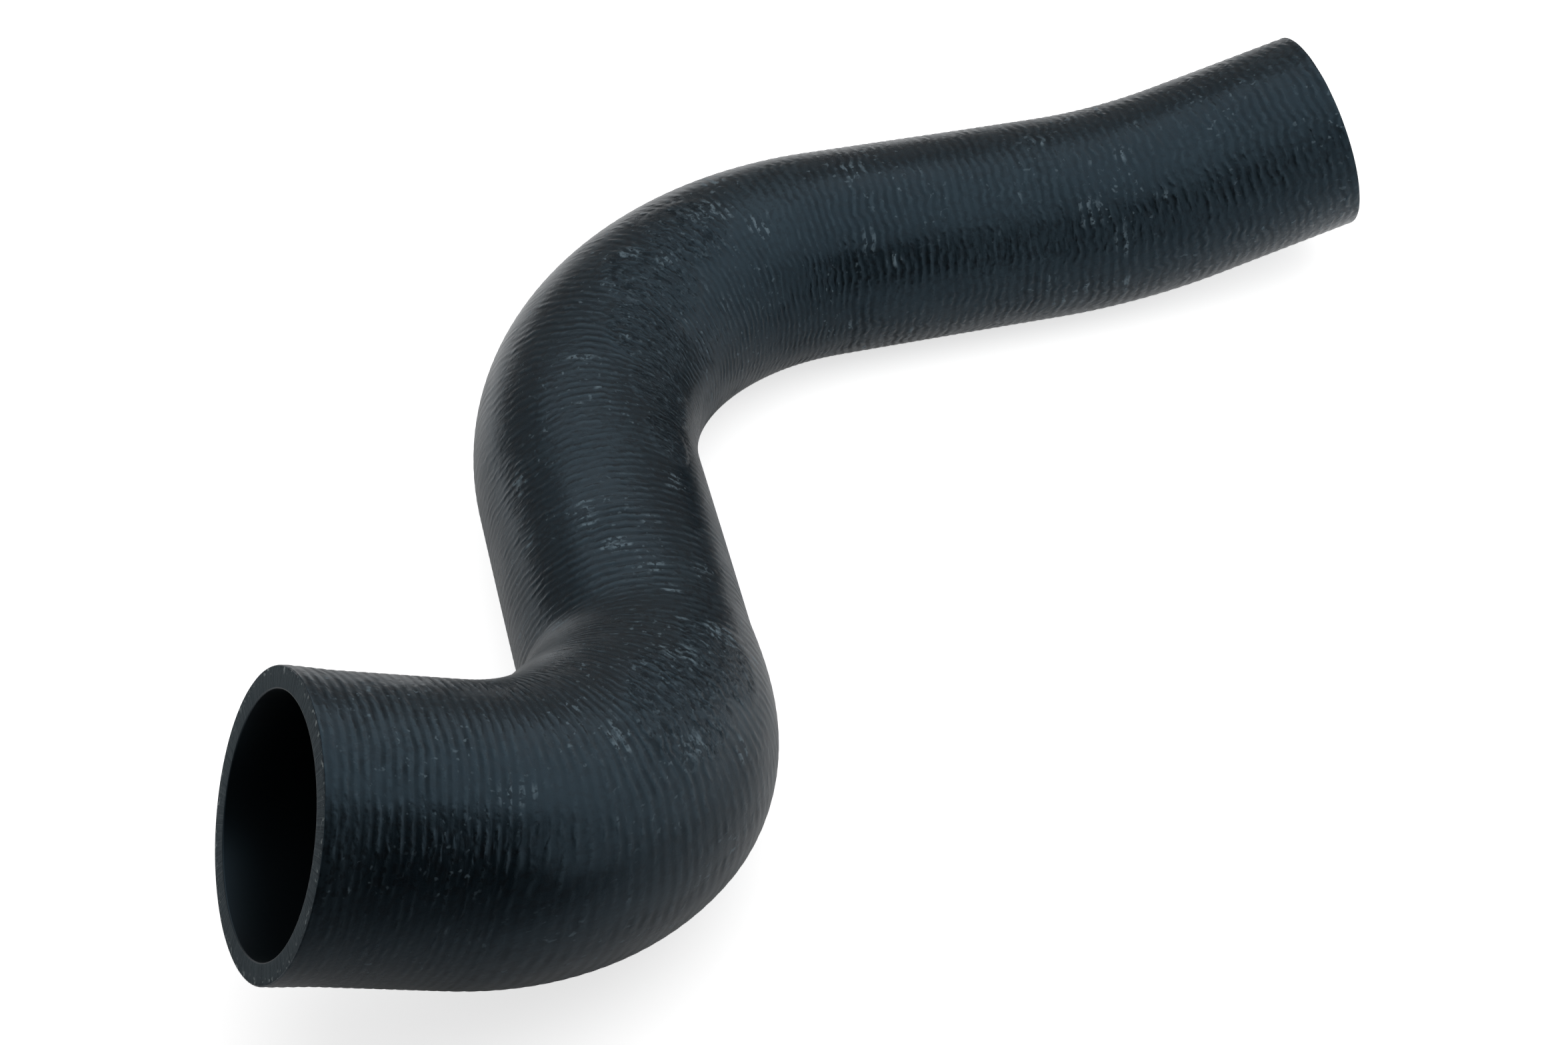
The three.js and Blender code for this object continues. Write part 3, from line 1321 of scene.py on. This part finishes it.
@dataclass(frozen=True)
class HoseRubber:
    """The hose's one material, which carries the finishes of its skin, its bore and its cuts.

    Attributes:
        relief: The modelled rings.
        ior: Index of refraction, which sets how strong the sheen is.
        tint: Colour of the sheen seen straight on.
        dull_ior: Index of refraction in the grooves.
        dull_roughness: Roughness in the grooves.
        pores: Noise of the skin's fine grain.
        pore_height: Height of that grain.
    """

    relief: RingRelief
    rings: RingFinish = RingFinish()
    torn: TornFinish = TornFinish()
    scuffs: ScuffFinish = ScuffFinish()
    skin: SkinFinish = SkinFinish()
    bore: BoreFinish = BoreFinish()
    cut: CutFinish = CutFinish()
    ior: float = 1.475
    tint: Colour = (0.51, 0.78, 1.0)
    dull_ior: float = 1.16
    dull_roughness: float = 0.65
    pores: Grain = Grain(900.0)
    pore_height: float = 0.00003

    def build(self) -> bpy.types.Material:
        """Makes the material: a glossy shader on the crests and a dull one in the grooves, mixed.

        Returns:
            The finished material.
        """
        material = bpy.data.materials.new("hose_rubber")
        shade = Shade(material)
        at = Reading(shade, self.bore.depth_from, self.bore.depth_to)
        torn = self.torn.level(at)
        rings = self.rings.draw(at, torn, self.relief)
        flakes, pits, torn_height = self.torn.look(at, torn)
        pale = self.scuffs.pale(at, rings.crest).most(flakes)
        hollow = rings.hollow.most(pits) * (1.0 - pale) * at.outside
        skin, skin_roughness = self.skin.dress(at, rings, torn, pale, hollow)
        face, chips, cut_height = self.cut.dress(at)

        colour = shade.blend(at.bore, skin, self.bore.colour)
        colour = shade.blend(at.cut, colour, face)
        colour = shade.blend(chips * (1.0 - at.bore), colour, self.cut.chip)
        roughness = skin_roughness * at.outside + at.bore * self.bore.roughness
        roughness = roughness + at.cut * self.cut.roughness
        pores = (at.noise(self.pores) - 0.5) * self.pore_height * at.outside
        height = rings.height + torn_height + pores + cut_height
        bump = shade.value("ShaderNodeBump", None, {"Strength": 1.0, "Distance": 1.0, "Height": height})
        glossy = {
            "Base Color": colour,
            "Roughness": roughness,
            "Normal": bump,
            "IOR": self.ior,
            "Specular Tint": (*self.tint, 1.0),
        }
        dull = {**glossy, "Roughness": self.dull_roughness, "IOR": self.dull_ior}
        crests = shade.value("ShaderNodeBsdfPrincipled", None, glossy)
        grooves = shade.value("ShaderNodeBsdfPrincipled", None, dull)
        shader = shade.value("ShaderNodeMixShader", None, {"Fac": hollow, 1: crests, 2: grooves})
        shade.node("ShaderNodeOutputMaterial", None, {"Surface": shader})
        return material


@dataclass(frozen=True)
class PhotoCamera:
    """The photograph's view: looking along +Y and down, with the photograph's slight roll.

    Attributes:
        place: Where the camera stands.
        down: How far it looks down.
        roll: How far its frame is turned.
        focal_pixels: Focal length in the photograph's pixels.
        clip: Nearest and farthest distances that it sees.
    """

    place: Point = (-0.0162, -0.84256, 0.83001)
    down: float = 43.46
    roll: float = 1.12
    focal_pixels: float = 6050.0
    clip: Span = (0.05, 50.0)

    def build(self) -> bpy.types.Object:
        """Makes the camera and gives it to the scene.

        The frame's right and up directions are the level ones, turned about the view by the roll.

        Returns:
            The camera object.
        """
        tilt, roll = math.radians(self.down), math.radians(self.roll)
        forward = np.array([0.0, math.cos(tilt), -math.sin(tilt)])
        right, up = np.array([1.0, 0.0, 0.0]), np.array([0.0, math.sin(tilt), math.cos(tilt)])
        right, up = (
            right * math.cos(roll) + up * math.sin(roll),
            up * math.cos(roll) - right * math.sin(roll),
        )
        data = bpy.data.cameras.new("photo_camera")
        data.sensor_fit = "HORIZONTAL"
        data.sensor_width = SENSOR
        data.lens = self.focal_pixels / FRAME_WIDTH * SENSOR
        data.clip_start, data.clip_end = self.clip
        camera = linked("photo_camera", data)
        turn = Matrix(np.column_stack([right, up, -forward]).tolist()).to_4x4()
        camera.matrix_world = Matrix.Translation(self.place) @ turn
        bpy.context.scene.camera = camera
        return camera


@dataclass(frozen=True)
class SoftBox:
    """A rectangular studio lamp that faces a point, its width lying level."""

    name: str
    place: Point
    target: Point
    width: float
    height: float
    power: float

    def build(self) -> bpy.types.Object:
        """Makes the lamp.

        Returns:
            The lamp object.
        """
        data = bpy.data.lights.new(self.name, "AREA")
        data.shape = "RECTANGLE"
        data.size, data.size_y = self.width, self.height
        data.energy = self.power
        lamp = linked(self.name, data)
        lamp.visible_camera = False
        aim = (Vector(self.place) - Vector(self.target)).to_track_quat("Z", "Y").to_matrix().to_4x4()
        lamp.matrix_world = Matrix.Translation(self.place) @ aim
        return lamp


@dataclass(frozen=True)
class Studio:
    """The pale floor, the roof lamp, the lamp on the right and the surroundings.

    Attributes:
        floor_size: Side of the floor.
        floor_colour: The floor's own colour.
        floor_glow: What the camera sees on top, which takes the open floor to white.
        front_colour: The floor's colour in front of the object, dark as painted shade that reflections and
            bounced light see.
        front_glow: What the camera sees on top there.
        front: Where the floor starts to turn to its front colour, along Y, and where it has turned.
        mirror_glow: What reflections see on top at the back, where the table is brightest.
        behind: Where that glow starts, along Y, and where it is full.
        white: Level of the white walls, at the back and the sides, high up.
        low_white: Their level at the floor.
        heights: Sines of the angles above the floor between which they grow to their full level.
        room: Level of the dim room in front, behind the camera.
        back: Direction of the middle of the back wall.
        sides: Cosines to that direction between which the room gives way to the walls.
        lamps: The studio lamps.
    """

    floor_size: float = 6.0
    floor_colour: Colour = (0.90, 0.90, 0.90)
    floor_glow: float = 0.68
    front_colour: Colour = (0.24, 0.24, 0.24)
    front_glow: float = 0.86
    front: Span = (-0.16, -0.36)
    mirror_glow: float = 0.32
    behind: Span = (0.04, 0.15)
    white: float = 0.46
    low_white: float = 0.25
    heights: Span = (0.05, 0.42)
    room: float = 0.03
    back: Point = (-0.34, 0.94, 0.0)
    sides: Span = (-0.75, -0.30)
    lamps: tuple[SoftBox, ...] = (
        SoftBox("roof", (0.02, 0.08, 0.39), (0.02, 0.08, 0.0), 0.84, 0.72, 1.72),
        SoftBox("right_wall", (0.42, -0.01, 0.19), (0.0, -0.01, 0.19), 0.98, 0.36, 0.82),
    )

    def paper(self) -> bpy.types.Material:
        """Makes the floor's material: a dull colour, dark in front as painted shade, with a glow for the
        camera and for reflections.

        Returns:
            The material.
        """
        paper = bpy.data.materials.new("floor_paper")
        shade = Shade(paper)
        along = shade.part(shade.place("Object"), "Y")
        front = along.step(*self.front)
        # Painted shade: the floor's colour turns dark in front, and the camera's glow keeps it white there.
        dull = {"Color": shade.blend(front, self.floor_colour, self.front_colour), "Roughness": 1.0}
        diffuse = shade.value("ShaderNodeBsdfDiffuse", None, dull)
        seen = shade.ray("Camera") + shade.ray("Transmission")
        seen = seen * front.span(self.floor_glow, self.front_glow)
        mirrored = shade.ray("Glossy") * along.step(*self.behind) * self.mirror_glow
        glow = shade.value("ShaderNodeEmission", None, {"Strength": seen + mirrored})
        both = shade.value("ShaderNodeAddShader", None, {0: diffuse, 1: glow})
        shade.node("ShaderNodeOutputMaterial", None, {"Surface": both})
        return paper

    def floor(self) -> bpy.types.Object:
        """Makes the floor.

        Returns:
            The floor object.
        """
        half = self.floor_size / 2
        corners = [(-half, -half, 0.0), (half, -half, 0.0), (half, half, 0.0), (-half, half, 0.0)]
        mesh = bpy.data.meshes.new("floor")
        mesh.from_pydata(corners, [], [(0, 1, 2, 3)])
        mesh.materials.append(self.paper())
        return linked("floor", mesh)

    def surroundings(self) -> None:
        """Makes the world: white to the camera, and otherwise pale at the back and sides, dim in front.

        The level is a soft step of the cosine between a direction and the direction of the back.
        """
        world = bpy.data.worlds.new("surroundings")
        shade = Shade(world)
        direction = shade.place("Generated")
        way = {0: direction, 1: self.back}
        lean = shade.value("ShaderNodeVectorMath", {"operation": "DOT_PRODUCT"}, way)
        walls = shade.part(direction, "Z").step(*self.heights).span(self.low_white, self.white)
        level = lean.step(*self.sides) * (walls - self.room) + self.room
        seen = shade.ray("Camera") + shade.ray("Transmission")
        light = shade.value("ShaderNodeBackground", None, {"Strength": level + (1.0 - level) * seen})
        shade.node("ShaderNodeOutputWorld", None, {"Surface": light})
        bpy.context.scene.world = world

    def build(self) -> None:
        """Sets the floor, the lamps and the surroundings."""
        self.floor()
        for lamp in self.lamps:
            lamp.build()
        self.surroundings()
        bpy.context.scene.view_settings.view_transform = "Standard"


def main() -> None:
    """Builds the camera, the studio and the hose, and reports each of them."""
    logging.basicConfig(level=logging.INFO, format="%(name)s: %(message)s")
    PhotoCamera().build()
    Studio().build()
    LOG.info("camera and studio are up")
    body = HoseBody()
    rubber = HoseRubber(body.relief).build()
    hose = body.build(rubber)
    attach(hose, BODY)
    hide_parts(NODE)
    LOG.info("hose of %.1f mm, %d faces", body.route.length * 1000, len(hose.data.polygons))


if __name__ == "__main__":
    main()
